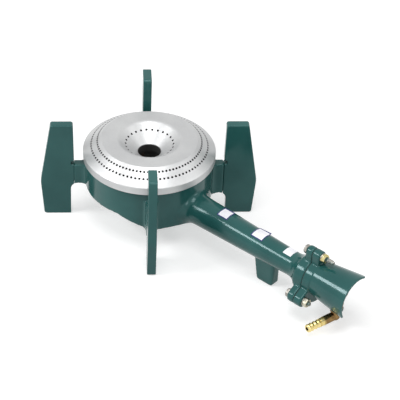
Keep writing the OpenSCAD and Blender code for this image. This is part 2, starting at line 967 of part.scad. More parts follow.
module hose_elbow() {
    color(brass)
        on_burner()
            difference() {
                union() {
                    on_hose_arm() {
                        rotate_extrude()
                            hose_arm_section();
                        sphere(r = corner_r);
                    }
                    on_stem() {
                        translate([0, 0, -arm_drop])
                            cylinder(h = arm_drop - shoulder_out - shoulder_h / 2, r = elbow_neck_r);
                        translate([0, 0, -shoulder_out - shoulder_h])
                            cylinder(h = shoulder_h, r = shoulder_r);
                        translate([0, 0, -arm_drop])
                            cylinder(h = arm_drop, r = stem_r);
                    }
                    along_tube(jet_face_x)
                        cylinder(h = head_len, r = head_r);
                }
                on_hose_arm() {
                    cylinder(h = hose_arm_len + over, r = gas_r);
                    sphere(r = 1.5 * gas_r);
                }
                on_stem()
                    translate([0, 0, -arm_drop])
                        cylinder(h = arm_drop, r = gas_r);
                along_tube(jet_face_x - over)
                    cylinder(h = head_len / 2 + gas_r + 2 * over, r = jet_thread_r + thread_clear);
            }
}

module elbow_seal() {
    color(fibre)
        on_burner()
            on_stem()
                translate([0, 0, -shoulder_out])
                    ring(seal_t, shoulder_r, stem_hole_r);
}

module elbow_lock_nut() {
    color(brass)
        on_burner()
            on_stem()
                translate([0, 0, -boss_in])
                    hex_nut(lock_h, lock_af, stem_r + thread_clear);
}

module gas_jet() {
    hex_x = jet_face_x - jet_hex_len;
    color(brass)
        on_burner()
            along_tube(0)
                difference() {
                    union() {
                        translate([0, 0, jet_face_x - over])
                            cylinder(h = jet_seat + over, r = jet_thread_r);
                        translate([0, 0, hex_x])
                            cylinder(h = jet_hex_len, d = jet_af / cos(30), $fn = 6);
                        translate([0, 0, hex_x - jet_nose_len])
                            cylinder(h = jet_nose_len, r1 = 2 * orifice_r + 0.8, r2 = jet_thread_r);
                    }
                    translate([0, 0, hex_x - jet_nose_len - over])
                        cylinder(h = jet_nose_len + jet_hex_len + jet_seat + 2 * over, r = orifice_r);
                }
}

burner_body();
front_left_leg();
front_right_leg();
rear_left_leg();
rear_right_leg();
burner_cap();
flange_gasket();
mixer_bell();
flange_bolt_top();
flange_bolt_left();
flange_bolt_right();
flange_washer_top();
flange_washer_left();
flange_washer_right();
flange_nut_top();
flange_nut_left();
flange_nut_right();
hose_elbow();
elbow_seal();
elbow_lock_nut();
gas_jet();
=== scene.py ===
import math

import bpy
from mathutils import Matrix, Vector


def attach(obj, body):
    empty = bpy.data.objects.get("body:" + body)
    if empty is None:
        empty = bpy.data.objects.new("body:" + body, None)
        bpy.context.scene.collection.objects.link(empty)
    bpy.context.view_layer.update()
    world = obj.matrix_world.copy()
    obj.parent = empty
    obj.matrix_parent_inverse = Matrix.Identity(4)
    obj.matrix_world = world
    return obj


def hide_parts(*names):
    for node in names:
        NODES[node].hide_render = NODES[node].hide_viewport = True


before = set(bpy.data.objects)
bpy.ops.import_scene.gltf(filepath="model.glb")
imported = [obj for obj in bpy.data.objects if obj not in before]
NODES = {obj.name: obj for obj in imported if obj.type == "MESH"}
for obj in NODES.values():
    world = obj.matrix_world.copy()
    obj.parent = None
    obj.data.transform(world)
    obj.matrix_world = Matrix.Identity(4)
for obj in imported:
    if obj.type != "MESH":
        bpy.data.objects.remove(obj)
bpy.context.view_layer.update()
MM = 0.001

# Places shared with the solids, in metres
AXIS_X = -0.116076
BURNER_AXIS = (AXIS_X, 0, 0)
TUBE_Z = 0.047
BOWL_R = 79.5 * MM
CAP_R = 82.5 * MM
CAP_TOP_R = 59.5 * MM
CAP_TOP = 0.111
CAP_SEAT = 0.0855
AIR_HOLE_R = 14 * MM
TUBE_ROOT_R = 19.2 * MM
TUBE_NECK_R = 15.1 * MM
TUBE_NECK_AT = 236.7 * MM
HOSE_OUT = Vector((-0.190809, -0.981627, 0))
HOSE_ARM = 43 * MM
HOSE_END = Vector((AXIS_X + 0.308, -0.005991, 0.013024)) + HOSE_ARM * HOSE_OUT
LEGS = ["front_left_leg", "front_right_leg", "rear_left_leg", "rear_right_leg"]

# Distances at which doubled points are merged, in metres
COARSE_MERGE = 1e-5
TURNED_MERGE = 2e-6
FINE_MERGE = 1e-7


# Camera, fitted to the photograph

CAMERA_AT = Vector((1.136824, -1.3687, 1.4309))
LOOK_AZIMUTH = math.radians(130.45)
LOOK_DOWN = math.radians(37.28)
ROLL = math.radians(2.52)
SENSOR_WIDTH = 36
FOCAL_LENGTH = 165.7
FAR_CLIP = 30

forward = Vector((math.cos(LOOK_DOWN) * math.cos(LOOK_AZIMUTH),
                  math.cos(LOOK_DOWN) * math.sin(LOOK_AZIMUTH),
                  -math.sin(LOOK_DOWN)))
level = Vector((math.sin(LOOK_AZIMUTH), -math.cos(LOOK_AZIMUTH), 0))
upright = level.cross(forward)
right = math.cos(ROLL) * level + math.sin(ROLL) * upright
up = -math.sin(ROLL) * level + math.cos(ROLL) * upright
lens = bpy.data.cameras.new("camera")
lens.sensor_width = SENSOR_WIDTH
lens.lens = FOCAL_LENGTH
lens.clip_end = FAR_CLIP
camera = bpy.data.objects.new("camera", lens)
bpy.context.scene.collection.objects.link(camera)
camera.matrix_world = Matrix.LocRotScale(
    CAMERA_AT, Matrix((right, up, -forward)).transposed().to_quaternion(), None)
bpy.context.scene.camera = camera
bpy.context.scene.view_settings.view_transform = "Standard"


# Finishes

# Radii between which the bowl's bare inside gives way to its enamelled wall
BARE_INSIDE = (76.2 * MM, 77.4 * MM)
# Distances from the hose's end between which the bright barbs give way to the arm's darker brown,
# partly painted shade
BARBS_END = (23.5 * MM, 26.5 * MM)


def srgb(red, green, blue):
    """A colour given as it looks on a screen, 0 to 255, as the linear one that a shader needs."""
    def linear(value):
        value /= 255
        return value / 12.92 if value <= 0.04045 else ((value + 0.055) / 1.055) ** 2.4
    return (linear(red), linear(green), linear(blue), 1.0)


class Finish:
    """A material while it is made: its nodes, its links and its shader."""

    def __init__(self, name):
        self.material = bpy.data.materials.new(name)
        self.material.use_nodes = True
        self.nodes = self.material.node_tree.nodes
        self.links = self.material.node_tree.links
        self.shader = self.nodes["Principled BSDF"]
        self.place = self.nodes.new("ShaderNodeTexCoord").outputs["Object"]

    def feed(self, socket, value):
        """Sets a socket to a number or colour, or links it to another node's output."""
        if isinstance(value, bpy.types.NodeSocket):
            self.links.new(value, socket)
        else:
            socket.default_value = value

    def set(self, **values):
        for name, value in values.items():
            self.shader.inputs[name.replace("_", " ")].default_value = value

    def wire(self, name, source):
        self.links.new(source, self.shader.inputs[name])

    def noise(self, scale, detail, rough=0.55):
        node = self.nodes.new("ShaderNodeTexNoise")
        node.inputs["Scale"].default_value = scale
        node.inputs["Detail"].default_value = detail
        node.inputs["Roughness"].default_value = rough
        self.links.new(self.place, node.inputs["Vector"])
        return node.outputs["Fac"]

    def mottle(self, scale, detail, *stops, rough=0.55):
        """A patchy colour. Each stop is a value of the noise and its colour on a screen."""
        node = self.nodes.new("ShaderNodeValToRGB")
        ramp = node.color_ramp
        while len(ramp.elements) < len(stops):
            ramp.elements.new(0.5)
        for element, (at, colour) in zip(ramp.elements, stops):
            element.position = at
            element.color = srgb(*colour)
        self.links.new(self.noise(scale, detail, rough), node.inputs["Fac"])
        return node.outputs["Color"]

    def levels(self, source, low, high, to_low=0.0, to_high=1.0):
        node = self.nodes.new("ShaderNodeMapRange")
        node.inputs["From Min"].default_value = low
        node.inputs["From Max"].default_value = high
        node.inputs["To Min"].default_value = to_low
        node.inputs["To Max"].default_value = to_high
        self.links.new(source, node.inputs["Value"])
        return node.outputs["Result"]

    def uneven(self, scale, detail, low, high):
        """A value that wanders between low and high."""
        return self.levels(self.noise(scale, detail), 0.3, 0.7, low, high)

    def math(self, kind, a, b):
        node = self.nodes.new("ShaderNodeMath")
        node.operation = kind
        self.feed(node.inputs[0], a)
        self.feed(node.inputs[1], b)
        return node.outputs["Value"]

    def mix(self, share, a, b):
        node = self.nodes.new("ShaderNodeMix")
        node.data_type = "RGBA"
        sockets = [socket for socket in node.inputs if socket.enabled]
        for socket, value in zip(sockets, (share, a, b)):
            self.feed(socket, value)
        return [socket for socket in node.outputs if socket.enabled][0]

    def edges(self, low, high):
        """1 on sharp outer edges and 0 elsewhere."""
        geometry = self.nodes.new("ShaderNodeNewGeometry")
        return self.levels(geometry.outputs["Pointiness"], low, high)

    def faces_up(self):
        """How far the surface faces up: 1 on a floor, 0 on a wall and -1 on a ceiling."""
        geometry = self.nodes.new("ShaderNodeNewGeometry")
        node = self.nodes.new("ShaderNodeSeparateXYZ")
        self.links.new(geometry.outputs["Normal"], node.inputs["Vector"])
        return node.outputs["Z"]

    def reach(self, centre, flat=False):
        """Distance from a point, or with flat from the upright line through it."""
        shift = self.nodes.new("ShaderNodeMapping")
        shift.inputs["Location"].default_value = -Vector(centre)
        self.links.new(self.place, shift.inputs["Vector"])
        squash = self.nodes.new("ShaderNodeMapping")
        squash.inputs["Scale"].default_value = (1, 1, 0 if flat else 1)
        self.links.new(shift.outputs["Vector"], squash.inputs["Vector"])
        length = self.nodes.new("ShaderNodeVectorMath")
        length.operation = "LENGTH"
        self.links.new(squash.outputs["Vector"], length.inputs[0])
        return length.outputs["Value"]

    def bump(self, *layers):
        """Each layer is a source of height and its depth in metres."""
        last = None
        for source, depth in layers:
            node = self.nodes.new("ShaderNodeBump")
            node.inputs["Strength"].default_value = 1.0
            node.inputs["Distance"].default_value = depth
            self.links.new(source, node.inputs["Height"])
            if last:
                self.links.new(last, node.inputs["Normal"])
            last = node.outputs["Normal"]
        self.links.new(last, self.shader.inputs["Normal"])


def green_enamel():
    """Glossy dark green enamel over cast iron with a painted highlight on sharp edges, bare and
    sooty inside the bowl.
    """
    m = Finish("green_enamel")
    tint = m.mottle(14, 3, (0.35, (30, 77, 75)), (0.65, (42, 90, 87)))
    # Painted highlight: sharp outer edges are lightened towards a pale green.
    edge_highlight = m.math("MULTIPLY", m.edges(0.53, 0.60), 0.35)
    tint = m.mix(edge_highlight, tint, srgb(84, 128, 122))
    chip = m.math("MULTIPLY", m.edges(0.55, 0.59), m.levels(m.noise(150, 4, 0.7), 0.63, 0.67))
    tint = m.mix(chip, tint, srgb(44, 40, 36))
    inside = m.math("MULTIPLY", m.levels(m.reach(BURNER_AXIS, flat=True), *BARE_INSIDE, 1, 0),
                    m.levels(m.faces_up(), -0.4, -0.2))
    iron = m.mottle(90, 5, (0.3, (26, 24, 23)), (0.55, (52, 46, 41)), (0.75, (84, 60, 44)),
                    rough=0.65)
    m.wire("Base Color", m.mix(inside, tint, iron))
    m.wire("Roughness", m.math("MAXIMUM", m.uneven(60, 3, 0.12, 0.18),
                               m.math("MULTIPLY", inside, 0.72)))
    m.set(Specular_IOR_Level=0.36, Specular_Tint=(0.75, 0.97, 1.0, 1.0))
    m.bump((m.noise(50, 2), 0.12 * MM), (m.noise(400, 2), 0.006 * MM),
           (m.math("MULTIPLY", m.noise(700, 3), inside), 0.4 * MM))
    return m.material


def cap_silver():
    """Silver heat resistant paint on the cap's skin, painted shade in its hollows and in its air
    hole, and bare iron beneath.
    """
    m = Finish("cap_silver")
    tint = m.mottle(22, 4, (0.3, (186, 187, 188)), (0.7, (200, 201, 201)))
    grain = m.levels(m.noise(1400, 2), 0.35, 0.65, 0.0, 0.16)
    tint = m.mix(grain, tint, srgb(150, 150, 150))
    # Painted shade: hollows and creases are darkened towards grey.
    hollow_shade = m.math("MULTIPLY", m.edges(0.50, 0.44), 0.3)
    tint = m.mix(hollow_shade, tint, srgb(120, 118, 114))
    # Painted shade: the walls of the air hole are painted near black.
    air_hole_shade = m.levels(m.reach(BURNER_AXIS, flat=True), AIR_HOLE_R + 0.2 * MM, AIR_HOLE_R + 0.9 * MM,
                    1, 0)
    below = m.levels(m.faces_up(), -0.30, -0.15, 1, 0)
    iron = m.mottle(120, 5, (0.3, (38, 35, 33)), (0.6, (74, 64, 56)), (0.8, (108, 78, 58)),
                    rough=0.65)
    tint = m.mix(below, tint, iron)
    tint = m.mix(air_hole_shade, tint, srgb(20, 19, 18))
    m.wire("Base Color", tint)
    # The bare iron beneath and the painted shade in the air hole are rough and not metallic.
    bare_iron_and_shade = m.math("MAXIMUM", below, air_hole_shade)
    m.wire("Roughness", m.math("MAXIMUM", m.uneven(300, 2, 0.36, 0.44),
                               m.math("MULTIPLY", bare_iron_and_shade, 0.8)))
    m.wire("Metallic", m.math("MULTIPLY", m.math("SUBTRACT", 1.0, bare_iron_and_shade), 0.62))
    m.bump((m.noise(900, 3), 0.06 * MM), (m.noise(110, 2), 0.1 * MM))
    return m.material


def painted_hole_shade():
    """Painted shade: near black walls for narrow holes, on the drilled ports, the tube's bore and
    the hose arm's gas way.
    """
    m = Finish("painted_hole_shade")
    m.wire("Base Color", m.mottle(900, 3, (0.3, (14, 13, 13)), (0.7, (38, 34, 32))))
    m.set(Roughness=0.9, Specular_IOR_Level=0.2)
    return m.material


def plated_steel():
    m = Finish("plated_steel")
    m.wire("Base Color", m.mottle(220, 4, (0.3, (132, 129, 124)), (0.7, (178, 175, 168))))
    m.wire("Roughness", m.uneven(500, 3, 0.30, 0.46))
    m.set(Metallic=1.0)
    m.bump((m.noise(1500, 2), 0.03 * MM))
    return m.material


def painted_thread():
    """Plated steel with enamel sprayed over it, as on the bolts' free ends."""
    m = Finish("painted_thread")
    spray = m.levels(m.noise(260, 4), 0.42, 0.62)
    m.wire("Base Color", m.mix(spray, srgb(168, 166, 160), srgb(64, 98, 93)))
    m.wire("Metallic", m.math("SUBTRACT", 1.0, spray))
    m.wire("Roughness", m.uneven(500, 3, 0.26, 0.42))
    return m.material


def turned_brass():
    """Bright brass at the barbs; the plain arm is darker brown, partly painted shade from the bell
    and partly browned brass.
    """
    m = Finish("turned_brass")
    bright = m.mottle(160, 4, (0.3, (206, 184, 116)), (0.7, (236, 218, 156)))
    # Partly painted shade: the plain arm darkens to brown where the bell shades it, with some real
    # browning.
    shaded_brown = m.mottle(190, 4, (0.3, (104, 80, 50)), (0.7, (150, 122, 80)))
    m.wire("Base Color", m.mix(m.levels(m.reach(HOSE_END), *BARBS_END), bright, shaded_brown))
    m.wire("Roughness", m.uneven(420, 3, 0.17, 0.30))
    m.set(Metallic=1.0)
    m.bump((m.noise(1300, 2), 0.02 * MM))
    return m.material


def zinc(name, dark, bright, worn):
    """Passivated zinc plating on the nuts."""
    m = Finish(name)
    m.wire("Base Color", m.mottle(240, 3, (0.3, dark), (0.5, bright), (0.65, worn)))
    m.wire("Roughness", m.uneven(500, 3, 0.22, 0.36))
    m.set(Metallic=1.0)
    m.bump((m.noise(1500, 2), 0.02 * MM))
    return m.material


def pressed_fibre():
    """Fibre sheet with enamel sprayed over its edge."""
    m = Finish("pressed_fibre")
    fibre = m.mottle(700, 4, (0.35, (26, 28, 27)), (0.65, (48, 48, 44)))
    spray = m.levels(m.noise(180, 3), 0.38, 0.54)
    m.wire("Base Color", m.mix(spray, fibre, srgb(26, 60, 58)))
    m.set(Roughness=0.8)
    m.bump((m.noise(1800, 3), 0.05 * MM))
    return m.material


def label_paper():
    """Glossy white paper of a blank sticker."""
    m = Finish("label_paper")
    m.wire("Base Color", m.mottle(60, 3, (0.3, (222, 222, 230)), (0.7, (240, 240, 244))))
    m.wire("Roughness", m.uneven(200, 2, 0.32, 0.42))
    m.bump((m.noise(160, 2), 0.08 * MM))
    return m.material


def label_border():
    """The plain navy edge of a blank sticker."""
    m = Finish("label_border")
    m.wire("Base Color", m.mottle(80, 3, (0.3, (34, 40, 96)), (0.7, (46, 54, 116))))
    m.set(Roughness=0.35)
    return m.material


ENAMEL = green_enamel()
SILVER = cap_silver()
HOLE_SHADE = painted_hole_shade()
STEEL = plated_steel()
SPRAYED = painted_thread()
BRASS = turned_brass()
YELLOW_ZINC = zinc("yellow_zinc", (184, 168, 104), (208, 196, 140), (184, 180, 166))
PALE_ZINC = zinc("pale_zinc", (170, 166, 144), (196, 192, 172), (178, 176, 168))
FIBRE = pressed_fibre()
PAPER = label_paper()
BORDER = label_border()


# Working on pieces as by hand

FLAT = math.radians(0.5)


def dress(piece, *materials):
    piece.data.materials.clear()
    for material in materials:
        piece.data.materials.append(material)


def only(*pieces):
    """Selects just the given pieces, with the first as the active one."""
    for other in bpy.context.selected_objects:
        other.select_set(False)
    for piece in pieces:
        piece.select_set(True)
    bpy.context.view_layer.objects.active = pieces[0]


def apply(piece, kind, **values):
    """Adds a modifier and applies it."""
    only(piece)
    modifier = piece.modifiers.new(kind.lower(), kind)
    for name, value in values.items():
        setattr(modifier, name, value)
    bpy.ops.object.modifier_apply(modifier=modifier.name)


def cut(piece, tool, operation):
    apply(piece, "BOOLEAN", operation=operation, object=tool, solver="EXACT")
    bpy.data.objects.remove(tool)


def relax(piece, times, **limits):
    """Smooths a mesh a number of times."""
    apply(piece, "SMOOTH", factor=0.5, iterations=times, **limits)


def settle(piece):
    """Moves a piece's place into its mesh."""
    only(piece)
    bpy.ops.object.transform_apply(location=True, rotation=True, scale=True)
    return piece


def open_mesh(piece, action="SELECT"):
    """Starts to edit a piece's mesh, with all of it selected or none."""
    only(piece)
    bpy.ops.object.mode_set(mode="EDIT")
    bpy.ops.mesh.select_all(action=action)


def close_mesh():
    bpy.ops.object.mode_set(mode="OBJECT")


def clean(piece, merge):
    """Merges doubles and turns all faces outwards."""
    open_mesh(piece)
    bpy.ops.mesh.remove_doubles(threshold=merge)
    bpy.ops.mesh.normals_make_consistent(inside=False)
    close_mesh()


def dissolve_flat(piece):
    """Joins up the triangles of each flat face."""
    open_mesh(piece)
    bpy.ops.mesh.dissolve_limited(angle_limit=FLAT)
    close_mesh()


def bevel_rim(piece, on_rim, width, segments):
    """Bevels the edges that have both ends on a rim."""
    open_mesh(piece, "DESELECT")
    bpy.ops.mesh.select_mode(type="EDGE")
    close_mesh()
    for edge in piece.data.edges:
        edge.select = all(on_rim(piece.data.vertices[i].co) for i in edge.vertices)
    bpy.ops.object.mode_set(mode="EDIT")
    bpy.ops.mesh.bevel(offset=width, segments=segments, affect="EDGES")
    close_mesh()


def shade(piece, crease):
    """Smooth shading, but not over edges sharper than crease, in degrees."""
    only(piece)
    bpy.ops.object.shade_smooth_by_angle(angle=math.radians(crease))


def break_edges(piece, width, sharp=35, crease=35):
    """Bevels the edges sharper than sharp and shades the rest smooth, with angles in degrees."""
    apply(piece, "BEVEL", width=width, segments=2, limit_method="ANGLE",
          angle_limit=math.radians(sharp))
    shade(piece, crease)


def finish(piece, node, body):
    """Hides the solid that the piece stands for, if there is one, and says what the piece moves
    with.
    """
    if node:
        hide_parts(node)
    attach(piece, body)


def copy_of(node, name, merge):
    """A copy of a solid's mesh, joined up into one skin."""
    piece = bpy.data.objects.new(name, NODES[node].data.copy())
    bpy.context.scene.collection.objects.link(piece)
    open_mesh(piece)
    bpy.ops.mesh.remove_doubles(threshold=merge)
    close_mesh()
    bpy.ops.mesh.customdata_custom_splitnormals_clear()
    return piece


# Castings

# The bowl's underside: heights at its back and at the tube, and the rounded ramp between them
SHALLOW_Z = 47 * MM
DEEP_Z = 30 * MM
RAMP_RUN = 40 * MM
RAMP_FOOT = 58 * MM
RAMP_ROUND = 30 * MM

# The blocks that trim the arms' roots: their turns, distance from the burner's axis, sizes
# along, across and upright, height of the foot, and gap below the bowl's underside
ARM_TURNS = (45, -45, 135, -135)
BLOCK_AT = 82 * MM
BLOCK_ALONG = 13 * MM
BLOCK_ACROSS = 36 * MM
BLOCK_HEIGHT = 30 * MM
BLOCK_FOOT = 15 * MM
BLOCK_GAP = 0.1 * MM

# Where the corners under the tube's root lie: from and to along the tube, to each side, and up
CORNERS_FROM = 60 * MM
CORNERS_TO = 92 * MM
CORNERS_SIDE = 45 * MM
CORNERS_TOP = 37 * MM

# The bore's walls: where they start along the tube, how far they lie inside the tube's skin,
# and how squarely their faces look at the tube's axis
BORE_FROM = 70 * MM
BORE_INSIDE = 1.8 * MM
BORE_FACING = 0.3


def underside(s):
    """Height of the bowl's underside at distance s from its axis towards the tube."""
    slope = math.atan((SHALLOW_Z - DEEP_Z) / RAMP_RUN)
    bend = RAMP_ROUND * math.tan(slope / 2)
    if s > RAMP_FOOT + bend:
        return DEEP_Z
    if s > RAMP_FOOT - bend * math.cos(slope):
        return DEEP_Z + RAMP_ROUND - math.sqrt(RAMP_ROUND ** 2 - (RAMP_FOOT + bend - s) ** 2)
    return min(SHALLOW_Z, DEEP_Z + (RAMP_FOOT - s) * math.tan(slope))


def trim_arm_roots(body):
    """Ends the arms' roots at the bowl's underside, where a pattern maker would."""
    middle = (BLOCK_AT, 0, BLOCK_FOOT + BLOCK_HEIGHT / 2)
    for turn in ARM_TURNS:
        bpy.ops.mesh.primitive_cube_add(size=1, location=middle)
        block = bpy.context.object
        block.dimensions = (BLOCK_ALONG, BLOCK_ACROSS, BLOCK_HEIGHT)
        settle(block)
        open_mesh(block)
        bpy.ops.mesh.subdivide(number_cuts=8)
        close_mesh()
        block.data.transform(Matrix.Rotation(math.radians(turn), 4, "Z"))
        for vertex in block.data.vertices:
            share = (vertex.co.z - BLOCK_FOOT) / BLOCK_HEIGHT
            top = underside(vertex.co.x) - BLOCK_GAP
            vertex.co.z = BLOCK_FOOT + share * (top - BLOCK_FOOT)
        block.data.transform(Matrix.Translation((AXIS_X, 0, 0)))
        cut(body, block, "DIFFERENCE")


def under_tube_root(point):
    return (CORNERS_FROM < point.x - AXIS_X < CORNERS_TO
            and abs(point.y) < CORNERS_SIDE and point.z < CORNERS_TOP)


def soften_tube_root(body):
    """Rounds the corners under the tube's root, as a moulder's fillets do."""
    root = body.vertex_groups.new(name="tube_root")
    corners = [vertex.index for vertex in body.data.vertices if under_tube_root(vertex.co)]
    root.add(corners, 1.0, "REPLACE")
    relax(body, 24, vertex_group=root.name)
    body.vertex_groups.clear()


def tube_radius(s):
    """Outer radius of the tube at distance s from the burner's axis."""
    share = (s - BOWL_R) / (TUBE_NECK_AT - BOWL_R)
    return TUBE_ROOT_R + (TUBE_NECK_R - TUBE_ROOT_R) * share


def darken_bore(body):
    """Gives the bore of the tube near black walls, painted shade."""
    body.data.materials.append(HOLE_SHADE)
    for face in body.data.polygons:
        s = face.center.x - AXIS_X
        out = Vector((0, face.center.y, face.center.z - TUBE_Z))
        inside = out.length < tube_radius(s) - BORE_INSIDE
        inwards = face.normal.dot(out) < -BORE_FACING * out.length
        if inside and inwards and BORE_FROM < s < TUBE_NECK_AT:
            face.material_index = 1


def cast_skin(piece, grain, soften, most_triangles):
    """Gives a solid the rounded edges and soft inner corners of a sand casting."""
    apply(piece, "REMESH", mode="VOXEL", voxel_size=grain)
    relax(piece, soften)
    triangles = 2 * len(piece.data.polygons)
    if triangles > most_triangles:
        apply(piece, "DECIMATE", ratio=most_triangles / triangles)
        relax(piece, 2)


def enamel(piece):
    """Shades a casting smooth all over and gives it its enamel."""
    only(piece)
    bpy.ops.object.shade_smooth()
    dress(piece, ENAMEL)


def casting(node, name, grain, soften, most_triangles):
    """A casting that needs no more than its skin and its enamel."""
    piece = copy_of(node, name, COARSE_MERGE)
    cast_skin(piece, grain, soften, most_triangles)
    enamel(piece)
    finish(piece, node, "burner")


def body_casting():
    """The bowl with its arms and tube, the one casting that takes more work."""
    body = copy_of("burner_body", "body_casting", COARSE_MERGE)
    trim_arm_roots(body)
    cast_skin(body, 1.0 * MM, 6, 190000)
    soften_tube_root(body)
    enamel(body)
    darken_bore(body)
    finish(body, "burner_body", "burner")


body_casting()
casting("mixer_bell", "bell_casting", 0.6 * MM, 4, 150000)
for leg in LEGS:
    casting(leg, leg + "_casting", 0.7 * MM, 8, 90000)


# Turned and drilled pieces

# The gas way in the hose arm: its radius with a little to spare and its length
GAS_WAY_R = 2.5 * MM
GAS_WAY_LENGTH = 40 * MM
# How much of a face's normal may lie along a hole's axis while the face counts as its wall
GAS_WAY_LEAN = 0.5
PORT_LEAN = 0.4

# Rings of ports: radius, height of the skin there, number, turn of the first in steps,
# and lean outwards
PORT_RINGS = ((64.8 * MM, 107.34 * MM, 90, -0.15, math.radians(34.66)),
              (72.4 * MM, 102.08 * MM, 90, -0.15, math.radians(34.66)),
              (29.6 * MM, 103.86 * MM, 26, 0.15, math.radians(-37.23)))
PORT_REACH = 1.5 * MM
MOUTH_FLARE = 0.28 * MM

# The cap's turned edges: their width, and how close a point on one is in radius and height
RIM_WIDTH = 0.5 * MM
RIM_NEAR = 0.1 * MM
RIM_LEVEL = 0.05 * MM


def machined(node, name, material, edge):
    """A solid's mesh with its sharp edges broken by a small bevel."""
    piece = copy_of(node, name, TURNED_MERGE)
    dissolve_flat(piece)
    break_edges(piece, edge, 32, 40)
    dress(piece, material)
    finish(piece, node, "burner")
    return piece


def darken_gas_way(elbow):
    """Gives the gas way inside the hose arm near black walls, painted shade."""
    elbow.data.materials.append(HOLE_SHADE)
    for face in elbow.data.polygons:
        along = (face.center - HOSE_END).dot(HOSE_OUT)
        across = (face.center - HOSE_END - along * HOSE_OUT).length
        wall = abs(face.normal.dot(HOSE_OUT)) < GAS_WAY_LEAN
        if wall and across < GAS_WAY_R and along > -GAS_WAY_LENGTH:
            face.material_index = 1


def nearest_port(point):
    """The offset of a point from the nearest port's axis, its height along it, and the axis."""
    place = point - Vector(BURNER_AXIS)
    nearest = None
    for radius, height, count, phase, lean in PORT_RINGS:
        step = 2 * math.pi / count
        turn = (round(math.atan2(place.y, place.x) / step - phase) + phase) * step
        x, y = math.cos(turn), math.sin(turn)
        mouth = Vector((radius * x, radius * y, height))
        axis = Vector((math.sin(lean) * x, math.sin(lean) * y, math.cos(lean)))
        along = (place - mouth).dot(axis)
        off = place - mouth - along * axis
        if nearest is None or off.length < nearest[0].length:
            nearest = (off, along, axis)
    return nearest


def open_mouths(cap):
    """Widens the ports' mouths, as deburring does."""
    for vertex in cap.data.vertices:
        off, along, axis = nearest_port(vertex.co)
        if off.length < PORT_REACH and abs(along) < MM:
            vertex.co += off.normalized() * MOUTH_FLARE


# Painted shade: the ports' walls take the near black finish.
def blacken_ports(cap):
    for face in cap.data.polygons:
        off, along, axis = nearest_port(face.center)
        wall = off.length < PORT_REACH and abs(face.normal.dot(axis)) < PORT_LEAN
        face.material_index = 1 if wall else 0


def break_rim(cap, radius, height):
    """Bevels the circular edge at the given radius and height."""
    def on_rim(point):
        reach = math.hypot(point.x - AXIS_X, point.y)
        return abs(reach - radius) < RIM_NEAR and abs(point.z - height) < RIM_LEVEL

    bevel_rim(cap, on_rim, RIM_WIDTH, 3)


def drilled_cap():
    """The cap with its turned edges broken, crisp ports and port walls darkened as painted shade.
    """
    cap = copy_of("burner_cap", "cap_casting", TURNED_MERGE)
    dress(cap, SILVER, HOLE_SHADE)
    open_mouths(cap)
    blacken_ports(cap)
    break_rim(cap, CAP_TOP_R, CAP_TOP)
    break_rim(cap, CAP_R, CAP_SEAT)
    shade(cap, 24)
    apply(cap, "WEIGHTED_NORMAL", keep_sharp=True, weight=60)
    finish(cap, "burner_cap", "cap")


darken_gas_way(machined("hose_elbow", "elbow_brass", BRASS, 0.15 * MM))
machined("gas_jet", "jet_brass", BRASS, 0.12 * MM)
machined("elbow_lock_nut", "lock_nut_brass", BRASS, 0.3 * MM)
dress(NODES["flange_gasket"], FIBRE)
dress(NODES["elbow_seal"], FIBRE)
drilled_cap()


# Flange bolts and nuts

LUG_RING = 33.2 * MM
HEAD_AT = AXIS_X + 0.2570
NUT_AT = AXIS_X + 0.2790
HEAD_H = 4 * MM
NUT_H = 5 * MM
ACROSS_FLATS = 10 * MM
HEX_CHAMFER = 0.75 * MM
HEX_EDGE = 0.12 * MM
BOLT_R = 3 * MM
BOLT_EDGE = 0.05 * MM
TIP_CHAMFER = 0.6 * MM
TIP_PLAIN = 0.4 * MM
FIT = 0.05 * MM
PITCH = 1.0 * MM
THREAD_DEPTH = 0.55 * MM
THREAD_STEPS = 24
WASHER_EDGE = 0.25 * MM


def rod(name, x0, x1, radius, sides=32, turn=0.0):
    """A round or many-sided rod along X."""
    bpy.ops.mesh.primitive_cylinder_add(vertices=sides, radius=radius, depth=x1 - x0,
                                        location=((x0 + x1) / 2, 0, 0),
                                        rotation=(0, math.pi / 2, 0))
    piece = bpy.context.object
    piece.name = name
    settle(piece)
    piece.data.transform(Matrix.Rotation(turn, 4, "X"))
    return piece


def chamfer_rim(piece, x, width):
    """Turns off the rim of a rod at x."""
    bevel_rim(piece, lambda point: abs(point.x - x) < COARSE_MERGE, width, 1)


def hexagon(name, x0, x1, free_x, turn):
    """A bolt head or nut along X whose corners are turned off at its free end."""
    corner = ACROSS_FLATS / math.sqrt(3)
    piece = rod(name, x0, x1, corner, 6, turn)
    lathe = rod(name + "_lathe", x0, x1, corner + FIT, 64)
    chamfer_rim(lathe, free_x, HEX_CHAMFER)
    cut(piece, lathe, "INTERSECT")
    dissolve_flat(piece)
    clean(piece, COARSE_MERGE)
    return piece


def thread(name, x0, x1):
    """The ridge of a thread, wound by the screw modifier from one small diamond."""
    bpy.ops.mesh.primitive_circle_add(vertices=4, radius=THREAD_DEPTH, fill_type="NOTHING",
                                      location=(x0, 0, BOLT_R - THREAD_DEPTH),
                                      rotation=(math.pi / 2, 0, 0))
    ridge = bpy.context.object
    ridge.name = name
    ridge.scale = (0.8, 1, 1)
    settle(ridge)
    turns = int((x1 - x0) / PITCH) - 1
    apply(ridge, "SCREW", axis="X", screw_offset=PITCH, iterations=turns, steps=THREAD_STEPS,
          render_steps=THREAD_STEPS)
    open_mesh(ridge, "DESELECT")
    bpy.ops.mesh.select_mode(type="EDGE")
    bpy.ops.mesh.select_non_manifold()
    bpy.ops.mesh.fill()
    close_mesh()
    clean(ridge, FINE_MERGE)
    dress(ridge, SPRAYED)
    return ridge


def on_lug(piece, lug_turn):
    """Moves a piece made along X to its lug, with its place in its mesh."""
    piece.data.transform(Matrix.Translation((0, LUG_RING * math.cos(lug_turn),
                                             TUBE_Z + LUG_RING * math.sin(lug_turn))))


